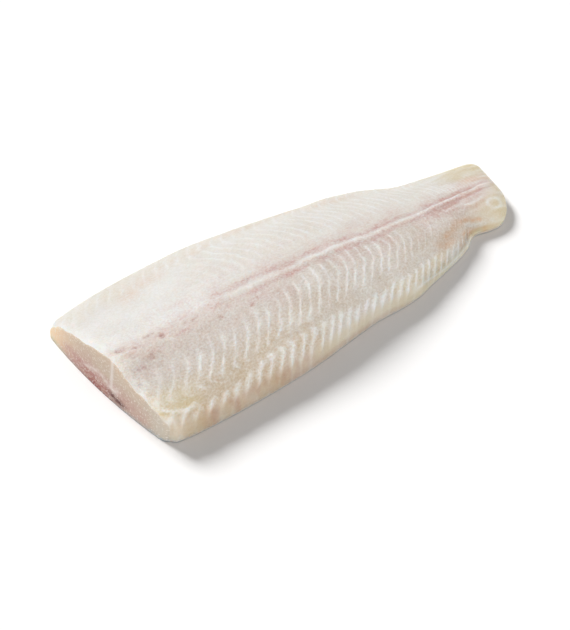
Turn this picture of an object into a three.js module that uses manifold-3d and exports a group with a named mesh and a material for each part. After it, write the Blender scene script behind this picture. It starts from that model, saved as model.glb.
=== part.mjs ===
// Pollock fillet: one side of the fish, skinned and trimmed, lying bone side up.
//
// Millimetres. X runs from the knife cut (-X) to the tail (+X), Y across from the
// back edge (-Y) to the belly edge (+Y), and Z is up. The fillet rests on Z = 0 and
// the origin is under the middle of its box.
//
// The flesh is one solid: a top sheet whose rows follow the zigzag of the muscle
// flakes, a rounded edge all round, a flat underside, and a knife cut at one end.

import * as THREE from 'three';
import { mergeVertices } from 'three/addons/utils/BufferGeometryUtils.js';
import Module from 'manifold-3d';

// ---------------------------------------------------------------- driving sizes
// Stations are [distance along X, value]. Widths are measured from the datum line
// under the backbone, which is Y = 0 until the finished solid is centred.

const TAIL_X = 139;
const STOCK_HEAD_X = -166; // the stock runs past the cut and is trimmed there
const STOCK_TIP = new THREE.Vector3(-190, 0, 12);

const BACK_WIDTH = [
  [-166, 20], [-141, 33], [-136, 38], [-131, 42.6], [-126, 45.4], [-119, 47], [-105, 48.3],
  [-75, 49.4], [-35, 48.5], [-5, 45.2], [10, 43.8], [32, 44.2], [41, 43.6], [55, 40.2],
  [70, 36.9], [85, 32.7], [90, 30.7], [95, 27.3], [100, 25.6], [108, 27.4], [116, 29.2], [141, 26],
];
const BELLY_WIDTH = [
  [-166, 44], [-143, 53], [-137, 59.5], [-128, 62.5], [-110, 65.3], [-80, 67], [-50, 66.3],
  [-10, 60.2], [28, 52.8], [43, 50.6], [62, 45.2], [86, 32.9], [98, 30.4], [120, 25.2], [141, 20.5],
];
const BACKBONE_Y = [
  [-166, 2], [-130, 1.5], [-95, -1.5], [-72, 0], [-50, 1], [-20, -0.5], [20, -1.5],
  [60, -2.5], [110, -2], [141, -4],
];
const CREST_HEIGHT = [
  [-166, 29], [-133, 28.5], [-90, 28], [-50, 29.3], [-15, 29.8], [10, 28], [40, 23.5],
  [70, 19.5], [90, 16], [105, 13], [125, 11], [141, 10],
];
const EDGE_HEIGHT = [[-166, 5], [-60, 4.6], [40, 3.8], [100, 3.2], [125, 4.2], [141, 5]];

// The section on each side is a superellipse: high powers give the boxy shoulder of
// the thick end, lower ones the plain dome behind it.
const BACK_POWER = [[-166, 3.4], [-130, 3.2], [-80, 2.5], [0, 2.2], [141, 2.2]];
const BACK_FALL = [[-166, 0.38], [-130, 0.42], [-80, 0.55], [0, 0.62], [80, 0.7], [141, 0.7]];
const BELLY_POWER = [[-166, 3.2], [-130, 3], [-80, 2.5], [0, 2.2], [141, 2.2]];
const BELLY_FALL = [[-166, 0.6], [-130, 0.62], [-80, 0.7], [141, 0.7]];

// Along the thick end the flesh beside the backbone stands above both shoulders.
const HUMP_HEIGHT = [[-166, 7], [-130, 7], [-90, 3.5], [-40, 0], [141, 0]];
const HUMP_REACH_BACK = 15;
const HUMP_REACH_BELLY = 24;

// Tail end: cut slightly askew, a tight corner on the belly side, a wide one on the back side.
const TAIL_SKEW = 4.5;
const TAIL_CORNER_BELLY = 7;
const TAIL_CORNER_BACK = 20;
const TAIL_BLEND_X = 92; // from here the rows turn from flakes to the tail outline
const TAIL_TAPER = 16; // length over which the tail thins to its edge

// Muscle flakes: pitch along X at the middle and how fast it shrinks towards the tail.
const FLAKE_PITCH = 6.5;
const FLAKE_SHRINK = 0.016;
const ROWS_PER_FLAKE = 3;

// The zigzag of one flake edge: [side from -1 at the back edge to 1 at the belly edge,
// distance along X]. It is drawn for a half width of ZIGZAG_WIDTH.
const ZIGZAG = [
  [-1, -14], [-0.9, -8.5], [-0.79, -4.5], [-0.73, -9.5], [-0.6, -5.5], [-0.42, 1], [-0.28, 2.5],
  [-0.1, 1], [0, 0], [0.1, 1], [0.25, 1], [0.42, -3], [0.66, -12.5], [0.8, -8], [1, 2],
];
const ZIGZAG_WIDTH = 49;

// Relief of the flakes and of the white strand along the backbone.
const FLAKE_RIDGE_WIDTH = 0.2; // in flake pitches
const BACK_RIDGE = 0.6;
const WELT_RIDGE = 1.1; // the second row of flake ends, along the back edge
const BELLY_RIDGE = 0.45;
const STRAND_HEIGHT = 0.9;
const STRAND_HALF_WIDTH = 1.3;
const FLANK_DEPTH = 0.55;
const FLANK_OFFSET = 4.2;
const FLANK_HALF_WIDTH = 2.2;
const ROW_GROOVE_SIDE = -0.745; // groove between the two rows on the back half
const ROW_GROOVE_DEPTH = 0.6;
const ROW_GROOVE_WIDTH = 0.035;
const TORN_DEPTH = 0.7; // ragged flesh beside the backbone at the thick end
const NOTCH_GROOVE = [[70, -0.68], [85, -0.8], [101, -1]]; // its side, running out into the notch
const NOTCH_GROOVE_DEPTH = 1.6;
const NOTCH_GROOVE_WIDTH = 0.09;


// Where each form comes in or fades out: [from, to], along X or by side without its sign.
const RIDGES_FADE_X = [80, 115];
const RIDGES_FADE_SIDE = [0.95, 1];
const RIDGES_LEFT_ON_TAIL = 0.4;
const FLAKES_FROM_SIDE = [0.1, 0.3];
const FIRST_ROW_TO_SIDE = [0.68, 0.74];
const WELTS_FROM_SIDE = [0.75, 0.8];
const SMOOTH_WALL_TO_X = [-95, -45]; // the wall of the belly cavity has no ridges
const SMOOTH_WALL_TO_SIDE = [0.6, 0.75];
const STRAND_FROM_X = [-75, -45];
const STRAND_TO_X = [122, 134];
const FAINT_STRAND_TO_X = [-60, 0];
const FAINT_STRAND = 0.35;
const ROW_GROOVE_TO_X = [85, 100];
const NOTCH_GROOVE_FROM_X = [70, 88];
const NOTCH_GROOVE_TO_X = [100, 112];
const TORN_TO_X = [-90, -60];
const TORN_SIDE = 0.25;

// A thin trimmed flap runs along the back edge up to the notch.
const FLAP_FROM_X = [40, 55];
const FLAP_TO_X = [92, 98];
const FLAP_FROM_SIDE = [0.86, 0.93];
const FLAP_LEFT = 0.3; // share of the section's rise that is left over the flap

// Sides at which the top sheet has a column of points.
const BACK_COLUMNS = [
  -1, -0.975, -0.93, -0.86, -0.79, -0.74, -0.69, -0.58, -0.47, -0.36, -0.25, -0.15, -0.085, -0.027,
];
const BELLY_COLUMNS = [
  0.02, 0.064, 0.12, 0.2, 0.29, 0.39, 0.49, 0.58, 0.66, 0.74, 0.82, 0.9, 0.96, 1,
];

// Rounded edge below the widest line: [share of its inset, share of its height].
const EDGE_ROUND = [[0.3, 0.3], [1, 0]];
const EDGE_INSET = 0.6; // of the edge height

// Knife cut: leans back with height, runs askew across and is slightly bowed.
const CUT_X = -138;
const CUT_MIDDLE_Y = 8.5;
const CUT_SKEW = 0.082;
const CUT_LEAN = 0.13;
const CUT_BOW = 3;
const CUT_BOW_REACH = 48;
const CUT_RIPPLE = 0.2;
const CUT_RIPPLE_PITCH = 7;
const CUT_RIPPLE_FLATNESS = 1.8; // its rings are this much wider than high
const KNIFE_SIZE = new THREE.Vector3(60, 150, 44);
const KNIFE_BELOW = 5; // how far the knife reaches below the underside
const KNIFE_CELLS = [34, 10];

// ------------------------------------------------------------------ small tools

/** Smooth curve through [station, value] pairs, with slopes taken from the neighbours. */
function along(stations) {
  const last = stations.length - 1;
  const span = (i) => stations[i + 1][0] - stations[i][0];
  const chord = (i) => (stations[i + 1][1] - stations[i][1]) / span(i);
  const slopes = stations.map((_, i) => {
    if (i === 0) return chord(0);
    if (i === last) return chord(last - 1);
    return (chord(i - 1) * span(i) + chord(i) * span(i - 1)) / (span(i - 1) + span(i));
  });
  return (position) => {
    const at = THREE.MathUtils.clamp(position, stations[0][0], stations[last][0]);
    const next = stations.findIndex(([x], i) => i > 0 && at <= x);
    const i = next - 1;
    const t = (at - stations[i][0]) / span(i);
    const rise = 3 * t * t - 2 * t * t * t;
    return (1 - rise) * stations[i][1] + rise * stations[next][1]
      + (t * (1 - t) ** 2 * slopes[i] - t * t * (1 - t) * slopes[next]) * span(i);
  };
}

/** 0 below the first value, 1 above the second, smooth between. */
const ramp = (from, to, value) => THREE.MathUtils.smoothstep(value, from, to);

/** A bell of height 1 at 0 that has died away at about twice its width. */
const bell = (value, width) => Math.exp(-((value / width) ** 2));

/** Uneven but repeatable waviness between -1 and 1. */
const ragged = (x, y) => 0.5 * Math.sin(x * 0.9 + 2.1 * Math.sin(y * 0.37))
  + 0.5 * Math.sin(y * 1.1 + 1.7 * Math.sin(x * 0.53));

// ------------------------------------------------------------- the fillet's form

const backWidth = along(BACK_WIDTH);
const bellyWidth = along(BELLY_WIDTH);
const backboneY = along(BACKBONE_Y);
const crestHeight = along(CREST_HEIGHT);
const edgeHeight = along(EDGE_HEIGHT);
const backPower = along(BACK_POWER);
const backFall = along(BACK_FALL);
const bellyPower = along(BELLY_POWER);
const bellyFall = along(BELLY_FALL);
const humpHeight = along(HUMP_HEIGHT);
const zigzag = along(ZIGZAG);
const notchGroove = along(NOTCH_GROOVE);

/** Where the tail ends along X, for a side from -1 to 1. */
function tailEnd(side) {
  const corner = (share) => 1 - Math.sqrt(1 - THREE.MathUtils.clamp(share, 0, 1) ** 2);
  return TAIL_X - TAIL_SKEW * (0.7 - side)
    - TAIL_CORNER_BELLY * corner((side - 0.72) / 0.28)
    - TAIL_CORNER_BACK * corner((-side - 0.25) / 0.75);
}

/** Smooth top of the section at x: a point [y, z] for a side from -1 to 1. */
function sectionPoint(x, side) {
  const back = side < 0;
  const middle = backboneY(x);
  const y = back ? middle + side * (backWidth(x) + middle) : middle + side * (bellyWidth(x) - middle);
  const hump = humpHeight(x);
  const edge = edgeHeight(x);
  const power = back ? backPower(x) : bellyPower(x);
  const fall = back ? backFall(x) : bellyFall(x);
  const dome = Math.max(1 - Math.abs(side) ** power, 0) ** fall;
  const taper = Math.min((tailEnd(side) - x) / TAIL_TAPER, 1);
  const thinning = Math.sqrt(Math.max(1 - (1 - taper) ** 2, 0));
  const lift = (crestHeight(x) - hump - edge) * dome
    + hump * bell(y - middle, back ? HUMP_REACH_BACK : HUMP_REACH_BELLY);
  const flap = ramp(...FLAP_FROM_X, x) * (1 - ramp(...FLAP_TO_X, x)) * ramp(...FLAP_FROM_SIDE, -side);
  return [y, edge + lift * thinning * (1 - (1 - FLAP_LEFT) * flap)];
}

/** Number of flakes between X = 0 and x, and the way back. */
const flakeAt = (x) => -Math.log(1 - (FLAKE_SHRINK * x) / FLAKE_PITCH) / FLAKE_SHRINK;
const flakeX = (flake) => (FLAKE_PITCH / FLAKE_SHRINK) * (1 - Math.exp(-FLAKE_SHRINK * flake));

/** Height of the flake ridges at a side, before the ridge's own shape. */
function ridgeHeight(x, side) {
  const tail = 1 - (1 - RIDGES_LEFT_ON_TAIL) * ramp(...RIDGES_FADE_X, x);
  const edgeFade = 1 - ramp(...RIDGES_FADE_SIDE, Math.abs(side));
  if (side < 0) {
    const firstRow = BACK_RIDGE * ramp(...FLAKES_FROM_SIDE, -side) * (1 - ramp(...FIRST_ROW_TO_SIDE, -side));
    const welts = WELT_RIDGE * ramp(...WELTS_FROM_SIDE, -side);
    return (firstRow + welts) * tail * edgeFade;
  }
  const offWall = Math.min(ramp(...SMOOTH_WALL_TO_X, x) + ramp(...SMOOTH_WALL_TO_SIDE, side), 1);
  return BELLY_RIDGE * ramp(...FLAKES_FROM_SIDE, side) * offWall * tail * edgeFade;
}

/** Relief on the top sheet, out along its normal. */
function relief(x, y, side, flake) {
  const fromRidge = flake - Math.round(flake);
  const flakes = ridgeHeight(x, side) * bell(fromRidge, FLAKE_RIDGE_WIDTH);
  const offset = y - backboneY(x);
  const alongStrand = ramp(...STRAND_FROM_X, x) * (1 - ramp(...STRAND_TO_X, x));
  const strandShows = Math.max(alongStrand, FAINT_STRAND * (1 - ramp(...FAINT_STRAND_TO_X, x)));
  const strand = STRAND_HEIGHT * bell(offset, STRAND_HALF_WIDTH) * strandShows;
  const flank = FLANK_DEPTH * bell(Math.abs(offset) - FLANK_OFFSET, FLANK_HALF_WIDTH) * alongStrand;
  const inRowGroove = bell(side - ROW_GROOVE_SIDE, ROW_GROOVE_WIDTH) * (1 - ramp(...ROW_GROOVE_TO_X, x));
  const rowGroove = ROW_GROOVE_DEPTH * inRowGroove;
  const alongNotch = ramp(...NOTCH_GROOVE_FROM_X, x) * (1 - ramp(...NOTCH_GROOVE_TO_X, x));
  const notch = NOTCH_GROOVE_DEPTH * bell(side - notchGroove(x), NOTCH_GROOVE_WIDTH) * alongNotch;
  const torn = TORN_DEPTH * ragged(x, y) * bell(side, TORN_SIDE) * (1 - ramp(...TORN_TO_X, x));
  return flakes + strand - flank - rowGroove - notch + torn;
}

/** Finished point of the top sheet on a flake line, for a side from -1 to 1. */
function topPoint(flake, side) {
  const line = flakeX(flake);
  const turn = ramp(TAIL_BLEND_X, TAIL_X, line);
  const spread = backWidth(line) / ZIGZAG_WIDTH;
  const x = line + zigzag(side) * spread * (1 - turn) + (tailEnd(side) - TAIL_X) * turn;
  const [y, z] = sectionPoint(x, side);
  const step = 0.01;
  const [yIn, zIn] = sectionPoint(x, side - step);
  const [yOut, zOut] = sectionPoint(x, side + step);
  const slope = new THREE.Vector2(zIn - zOut, yOut - yIn).normalize();
  const atEdge = Math.abs(side) === 1 || line >= TAIL_X;
  const out = atEdge ? 0 : relief(x, y, side, flake);
  return new THREE.Vector3(x, y + slope.x * out, z + slope.y * out);
}

// -------------------------------------------------------------- closed stock body

/** The whole fillet before the knife cut, as one closed geometry. */
function stockGeometry() {
  const sides = [...BACK_COLUMNS, ...BELLY_COLUMNS];
  const tailFlake = flakeAt(TAIL_X);
  const rowCount = Math.ceil((tailFlake - flakeAt(STOCK_HEAD_X)) * ROWS_PER_FLAKE);
  const points = [];
  const triangles = [];
  const quad = (a, b, c, d) => triangles.push(a, b, c, a, c, d);

  const rows = [];
  for (let i = 0; i <= rowCount; i += 1) {
    const flake = tailFlake - i / ROWS_PER_FLAKE;
    rows.push(sides.map((side) => points.push(topPoint(flake, side)) - 1));
  }
  for (let i = 0; i < rowCount; i += 1) {
    for (let j = 0; j < sides.length - 1; j += 1) {
      quad(rows[i][j], rows[i][j + 1], rows[i + 1][j + 1], rows[i + 1][j]);
    }
  }

  // The outline, from the thick end along the back edge, round the tail and back.
  const backEdge = rows.map((row) => row[0]).reverse();
  const bellyEdge = rows.map((row) => row.at(-1));
  let upper = [...backEdge, ...rows[0].slice(1, -1), ...bellyEdge];
  const outline = upper.map((index) => points[index]);
  const inward = outline.map((_, i) => {
    const before = outline[Math.max(i - 1, 0)];
    const after = outline[Math.min(i + 1, outline.length - 1)];
    return new THREE.Vector3(before.y - after.y, after.x - before.x, 0).normalize();
  });
  for (const [inset, height] of EDGE_ROUND) {
    const lower = outline.map((point, i) => {
      const reach = inset * EDGE_INSET * point.z;
      const below = point.clone().addScaledVector(inward[i], reach).setZ(height * point.z);
      return points.push(below) - 1;
    });
    for (let i = 0; i < lower.length - 1; i += 1) {
      quad(upper[i], lower[i], lower[i + 1], upper[i + 1]);
    }
    upper = lower;
  }

  // Flat underside.
  const floor = upper.map((index) => new THREE.Vector2(points[index].x, points[index].y));
  for (const [a, b, c] of THREE.ShapeUtils.triangulateShape(floor, [])) {
    triangles.push(upper[a], upper[c], upper[b]);
  }

  // The thick end of the stock closes on its tip; the knife takes all of that away.
  const tip = points.push(STOCK_TIP) - 1;
  const perRing = outline.length;
  const firstLower = points.length - 1 - EDGE_ROUND.length * perRing;
  const backDrop = EDGE_ROUND.map((_, k) => firstLower + k * perRing);
  const bellyDrop = EDGE_ROUND.map((_, k) => firstLower + (k + 1) * perRing - 1);
  const rim = [...backDrop.reverse(), ...rows[rowCount], ...bellyDrop];
  rim.forEach((index, i) => triangles.push(index, rim[(i + 1) % rim.length], tip));

  const geometry = new THREE.BufferGeometry().setFromPoints(points);
  geometry.setIndex(triangles);
  return geometry;
}

// --------------------------------------------------------------------- knife cut

/** X of the cut surface; its ripple is the edges of the flakes cut across. */
function cutX(y, z) {
  const across = y - CUT_MIDDLE_Y;
  const bow = CUT_BOW * (across / CUT_BOW_REACH) ** 2;
  const ring = Math.hypot(across, CUT_RIPPLE_FLATNESS * z);
  const ripple = CUT_RIPPLE * Math.sin((2 * Math.PI * ring) / CUT_RIPPLE_PITCH);
  return CUT_X - CUT_SKEW * across + bow + CUT_LEAN * z + ripple;
}

/** A block whose +X face is the cut surface. */
function knifeGeometry() {
  const geometry = new THREE.BoxGeometry(...KNIFE_SIZE, 1, ...KNIFE_CELLS);
  geometry.translate(0, CUT_MIDDLE_Y, KNIFE_SIZE.z / 2 - KNIFE_BELOW);
  geometry.deleteAttribute('normal');
  geometry.deleteAttribute('uv');
  const position = geometry.attributes.position;
  for (let i = 0; i < position.count; i += 1) {
    const face = cutX(position.getY(i), position.getZ(i));
    position.setX(i, position.getX(i) > 0 ? face : face - KNIFE_SIZE.x);
  }
  return mergeVertices(geometry);
}

const wasm = await Module();
wasm.setup();

function toSolid(geometry) {
  return new wasm.Manifold(new wasm.Mesh({
    numProp: 3,
    vertProperties: new Float32Array(geometry.attributes.position.array),
    triVerts: new Uint32Array(geometry.index.array),
  }));
}

function toGeometry(solid) {
  const mesh = solid.getMesh();
  const geometry = new THREE.BufferGeometry();
  geometry.setAttribute('position', new THREE.BufferAttribute(mesh.vertProperties, 3));
  geometry.setIndex(new THREE.BufferAttribute(mesh.triVerts, 1));
  return geometry;
}

// -------------------------------------------------------------------- the fillet

/** Moves the solid so that the origin is under the middle of its box. */
function centred(geometry) {
  geometry.computeBoundingBox();
  const { min, max } = geometry.boundingBox;
  return geometry.translate(-(min.x + max.x) / 2, -(min.y + max.y) / 2, -min.z);
}

const flesh = new THREE.MeshStandardMaterial({
  name: 'raw pollock flesh',
  color: 0xe9dfd3,
  roughness: 0.45,
  metalness: 0,
});

const geometry = centred(toGeometry(toSolid(stockGeometry()).subtract(toSolid(knifeGeometry()))));
const fillet = new THREE.Mesh(geometry, flesh);
fillet.name = 'fillet';

const model = new THREE.Group();
model.add(fillet);

export default model;
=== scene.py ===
"""Looks of the raw pollock fillet: its finely flaked flesh, the knife cut, and a plain studio.

The form is worked out in millimetres on the fillet's datum, as in the part's source: X runs from
the knife cut (-X) to the tail (+X), Y from the back edge (-Y) to the belly edge (+Y), and Z is up.
A place on the flesh is told by x and by side, which is -1 at the back edge, 0 on the backbone line
and 1 at the belly edge. The finished mesh is moved into the row frame and is in metres.
"""

import math

import bpy
import numpy as np
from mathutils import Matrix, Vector


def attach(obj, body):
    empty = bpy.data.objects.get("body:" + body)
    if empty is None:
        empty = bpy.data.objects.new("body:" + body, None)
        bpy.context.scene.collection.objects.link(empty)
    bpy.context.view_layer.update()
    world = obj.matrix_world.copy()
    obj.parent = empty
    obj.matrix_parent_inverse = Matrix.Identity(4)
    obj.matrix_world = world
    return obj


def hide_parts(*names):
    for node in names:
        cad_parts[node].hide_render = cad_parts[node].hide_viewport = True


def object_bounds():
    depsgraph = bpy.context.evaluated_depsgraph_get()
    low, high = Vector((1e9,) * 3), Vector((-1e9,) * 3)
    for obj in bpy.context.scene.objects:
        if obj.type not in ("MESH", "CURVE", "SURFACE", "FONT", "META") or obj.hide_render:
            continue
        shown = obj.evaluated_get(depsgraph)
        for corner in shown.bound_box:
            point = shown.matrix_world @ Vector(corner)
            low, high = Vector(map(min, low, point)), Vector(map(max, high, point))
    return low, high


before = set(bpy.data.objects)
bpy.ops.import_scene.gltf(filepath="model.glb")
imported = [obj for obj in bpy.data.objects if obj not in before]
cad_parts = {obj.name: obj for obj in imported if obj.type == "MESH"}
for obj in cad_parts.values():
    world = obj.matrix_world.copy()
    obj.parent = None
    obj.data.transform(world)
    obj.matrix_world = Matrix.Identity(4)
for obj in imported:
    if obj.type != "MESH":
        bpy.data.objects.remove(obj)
cad_low, cad_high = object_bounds()

MM = 0.001

# ------------------------------------------------------------------ driving sizes
# Stations are (distance along X, value), in mm. The widths are half widths, from the backbone line
# to either edge, and the heights are above the underside.

TAIL_X = 139
BACK_WIDTH = [
    (-166, 20), (-141, 33), (-136, 38), (-131, 42.6), (-126, 45.4), (-119, 47), (-105, 48.3),
    (-75, 49.4), (-35, 48.5), (-5, 45.2), (10, 43.8), (32, 44.2), (41, 43.6), (55, 40.2),
    (70, 36.9), (85, 32.7), (90, 30.7), (95, 27.3), (100, 25.6), (108, 27.4), (116, 29.2), (141, 26),
]
BELLY_WIDTH = [
    (-166, 44), (-143, 53), (-137, 59.5), (-128, 62.5), (-110, 65.3), (-80, 67), (-50, 66.3),
    (-10, 60.2), (28, 52.8), (43, 50.6), (62, 45.2), (86, 32.9), (98, 30.4), (120, 25.2),
    (141, 20.5),
]
BACKBONE_Y = [
    (-166, 2), (-130, 1.5), (-95, -1.5), (-72, 0), (-50, 1), (-20, -0.5), (20, -1.5), (60, -2.5),
    (110, -2), (141, -4),
]
CREST_HEIGHT = [
    (-166, 29), (-133, 28.5), (-90, 28), (-50, 29.3), (-15, 29.8), (10, 28), (40, 23.5),
    (70, 19.5), (90, 16), (105, 13), (125, 11), (141, 10),
]
EDGE_HEIGHT = [(-166, 5), (-60, 4.6), (40, 3.8), (100, 3.2), (125, 4.2), (141, 5)]
# The shape of the cross-section: how far in it stays high (power), and how it falls at the edge.
BACK_POWER = [(-166, 3.4), (-130, 3.2), (-80, 2.5), (0, 2.2), (141, 2.2)]
BACK_FALL = [(-166, 0.38), (-130, 0.42), (-80, 0.55), (0, 0.62), (80, 0.7), (141, 0.7)]
BELLY_POWER = [(-166, 3.2), (-130, 3), (-80, 2.5), (0, 2.2), (141, 2.2)]
BELLY_FALL = [(-166, 0.6), (-130, 0.62), (-80, 0.7), (141, 0.7)]
# The hump along the backbone, by the cut.
HUMP_HEIGHT = [(-166, 7), (-130, 7), (-90, 3.5), (-40, 0), (141, 0)]
HUMP_REACH_BACK = 15
HUMP_REACH_BELLY = 24
EDGE_INSET = 0.35  # how far the rounded edge draws in below, as a share of its height

TAIL_SKEW = 4.5  # how far the tail's end falls back for a whole side
TAIL_FURTHEST_SIDE = 0.7  # where it reaches TAIL_X
TAIL_CORNER_BELLY = 7
TAIL_CORNER_BACK = 20
TAIL_CORNER_BELLY_SIDE = 0.72  # the side from which each corner rounds off
TAIL_CORNER_BACK_SIDE = -0.25
TAIL_BLEND_X = 92  # from here the rows straighten into the line of the tail's end
TAIL_TAPER = 16  # the top comes down to the edge over this length

# The thin flap along the back edge before the tail.
FLAP_FROM_X = 40
FLAP_TO_X = 98
FLAP_FADE_IN = 15
FLAP_FADE_OUT = 6
FLAP_SIDE = -0.9
FLAP_LEFT = 0.3  # the share of the height that is left there

# The knife cut: skewed, leaning back over the fillet, and a little hollow.
CUT_X = -138
CUT_MIDDLE_Y = 8.5
CUT_SKEW = 0.082
CUT_LEAN = 0.13
CUT_BOW = 3
CUT_BOW_REACH = 48
CUT_CORNER_ROUND = 5  # where the knife cut meets the back edge

# Muscle flakes: pitch at the middle of the fillet, and how fast it shrinks towards the tail.
FLAKE_PITCH = 6.5
FLAKE_SHRINK = 0.016
# One flake edge: (side, distance along X), for a half width of ZIGZAG_WIDTH.
ZIGZAG = [
    (-1, -14), (-0.9, -8.5), (-0.79, -4.5), (-0.73, -9.5), (-0.6, -5.5), (-0.42, 1), (-0.28, 2.5),
    (-0.1, 1), (0, 0), (0.1, 1), (0.25, 1), (0.42, -3), (0.66, -12.5), (0.8, -8), (1, 2),
]
ZIGZAG_WIDTH = 49

# The white strand beside the backbone line: (x, side).
STRAND_SIDE = [
    (-140, 0.02), (-112, -0.03), (-98, -0.02), (-88, 0.06), (-70, 0.06), (-58, 0), (-40, -0.03),
    (0, -0.05), (60, -0.06), (92, -0.06), (106, -0.02), (120, 0.02), (132, 0.03), (141, 0.03),
]

# Mesh rows and columns.
ROWS_PER_FLAKE = 10
ROW_CROWDING = 1.5  # above 1 the rows crowd round each flake edge, where the relief is sharp
HEAD_BLEND_X = -90  # from here to HEAD_LINE_X the rows turn from flakes to the knife cut
HEAD_LINE_X = -130
COLUMN_SPANS = [  # (side reached, columns on the way from the last one)
    (-0.9, 7), (-0.68, 10), (-0.14, 16), (0.12, 18), (0.6, 17), (0.9, 11), (1, 6),
]
EDGE_RINGS = 15  # cuts in the height of the rounded edge and of the knife cut
QUIET_SIDE = 0.965  # the relief dies away from here to the edge
QUIET_TAIL = 5  # and over this length before the tail's end
# How far from the cut, from the tail's end and along its sides the underside's rows shift.
UNDERSIDE_CUT_REACH = 30
UNDERSIDE_TAIL_REACH = 14
UNDERSIDE_SIDE_REACH = 8
SKINNED_HEIGHT = 1.2  # below this the flesh is the skinned underside
# Below these heights the rounded edge is lightened in colour: painted light where it faces down into
# shade.
PAINTED_LIGHT_FOOT_HEIGHTS = (2.8, 1.2)  # the foot of the rounded edge, from where it begins to where it is full
SMOOTH_ANGLE = 60
STEPS_TO_CUT = 12  # rounds that settle where the cut meets the top
STEPS_TO_COUNT = 8  # rounds that settle the flake count of a place


# --------------------------------------------------------------------- small tools

def along(stations):
    """Smooth curve through (station, value) pairs, with slopes taken from the neighbours."""
    at, value = np.array(stations, float).T
    gap = np.diff(at)
    chord = np.diff(value) / gap
    inner = (chord[:-1] * gap[1:] + chord[1:] * gap[:-1]) / (gap[:-1] + gap[1:])
    slope = np.concatenate([chord[:1], inner, chord[-1:]])

    def curve(position):
        place = np.clip(position, at[0], at[-1])
        i = np.clip(np.searchsorted(at, place, side="right") - 1, 0, len(gap) - 1)
        t = (place - at[i]) / gap[i]
        rise = 3 * t**2 - 2 * t**3
        bend = t * (1 - t) ** 2 * slope[i] - t**2 * (1 - t) * slope[i + 1]
        return (1 - rise) * value[i] + rise * value[i + 1] + bend * gap[i]

    return curve


def ramp(start, end, value):
    """0 at start, 1 at end, smooth between; start may be above end."""
    t = np.clip((value - start) / (end - start), 0, 1)
    return t * t * (3 - 2 * t)


def bell(value, width):
    """A bell of height 1 at 0 that has died away at about twice its width."""
    return np.exp(-((value / width) ** 2))


LATTICE = 128  # heights along each side of the square that patchy repeats
LATTICE_START = 1000  # moves the fillet well inside, so that no place counts below zero


def patchy(x, y, pitch, seed, stretch=1.0):
    """Smooth unevenness from -1 to 1 with lumps about a pitch apart, drawn out along x by stretch."""
    lattice = np.random.default_rng(seed).uniform(-1, 1, (LATTICE, LATTICE))
    u = np.asarray(x / (pitch * stretch) + LATTICE_START, float)
    v = np.asarray(y / pitch + LATTICE_START, float)
    i, j = np.floor(u).astype(int), np.floor(v).astype(int)
    s, t = ramp(0, 1, u - i), ramp(0, 1, v - j)
    i_next, j_next = (i + 1) % LATTICE, (j + 1) % LATTICE
    i, j = i % LATTICE, j % LATTICE
    low = lattice[i, j] * (1 - s) + lattice[i_next, j] * s
    high = lattice[i, j_next] * (1 - s) + lattice[i_next, j_next] * s
    return low * (1 - t) + high * t


# ------------------------------------------------------------------ the fillet's form

back_width = along(BACK_WIDTH)
belly_width = along(BELLY_WIDTH)
backbone_y = along(BACKBONE_Y)
crest_height = along(CREST_HEIGHT)
edge_height = along(EDGE_HEIGHT)
back_power = along(BACK_POWER)
back_fall = along(BACK_FALL)
belly_power = along(BELLY_POWER)
belly_fall = along(BELLY_FALL)
hump_height = along(HUMP_HEIGHT)
zigzag = along(ZIGZAG)
strand_side = along(STRAND_SIDE)


def tail_end(side):
    """Where the tail ends along X."""
    def corner(from_side, to_side):
        share = np.clip((side - from_side) / (to_side - from_side), 0, 1)
        return 1 - np.sqrt(1 - share**2)
    return (TAIL_X - TAIL_SKEW * (TAIL_FURTHEST_SIDE - side)
            - TAIL_CORNER_BELLY * corner(TAIL_CORNER_BELLY_SIDE, 1)
            - TAIL_CORNER_BACK * corner(TAIL_CORNER_BACK_SIDE, -1))


def cut_x(y, z):
    """X of the knife cut."""
    across = y - CUT_MIDDLE_Y
    return CUT_X - CUT_SKEW * across + CUT_BOW * (across / CUT_BOW_REACH) ** 2 + CUT_LEAN * z


def section(x, side):
    """Smooth top of the fillet, (y, z)."""
    back = side < 0
    middle = backbone_y(x)
    y = middle + side * np.where(back, back_width(x) + middle, belly_width(x) - middle)
    hump = hump_height(x)
    edge = edge_height(x)
    power = np.where(back, back_power(x), belly_power(x))
    fall = np.where(back, back_fall(x), belly_fall(x))
    dome = np.maximum(1 - np.abs(side) ** power, 0) ** fall
    taper = np.clip((tail_end(side) - x) / TAIL_TAPER, 0, 1)
    thinning = np.sqrt(1 - (1 - taper) ** 2)
    reach = np.where(back, HUMP_REACH_BACK, HUMP_REACH_BELLY)
    lift = (crest_height(x) - hump - edge) * dome + hump * bell(y - middle, reach)
    flap = ramp(FLAP_FROM_X, FLAP_FROM_X + FLAP_FADE_IN, x)
    flap *= ramp(FLAP_TO_X, FLAP_TO_X - FLAP_FADE_OUT, x)
    flap *= ramp(FLAP_SIDE + 0.04, FLAP_SIDE - 0.03, side)
    return y, edge + lift * thinning * (1 - (1 - FLAP_LEFT) * flap)


def flake_at(x):
    """Number of flakes between X = 0 and x."""
    return -np.log(1 - FLAKE_SHRINK * x / FLAKE_PITCH) / FLAKE_SHRINK


def flake_x(flake):
    """X of a flake, counted from X = 0."""
    return FLAKE_PITCH / FLAKE_SHRINK * (1 - np.exp(-FLAKE_SHRINK * flake))


def cut_top_x(side):
    """X where the knife cut meets the top, found by going back and forth a few times."""
    x = np.full_like(side, CUT_X)
    for _ in range(STEPS_TO_CUT):
        y, z = section(x, side)
        x = cut_x(y, z)
    return x


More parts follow.
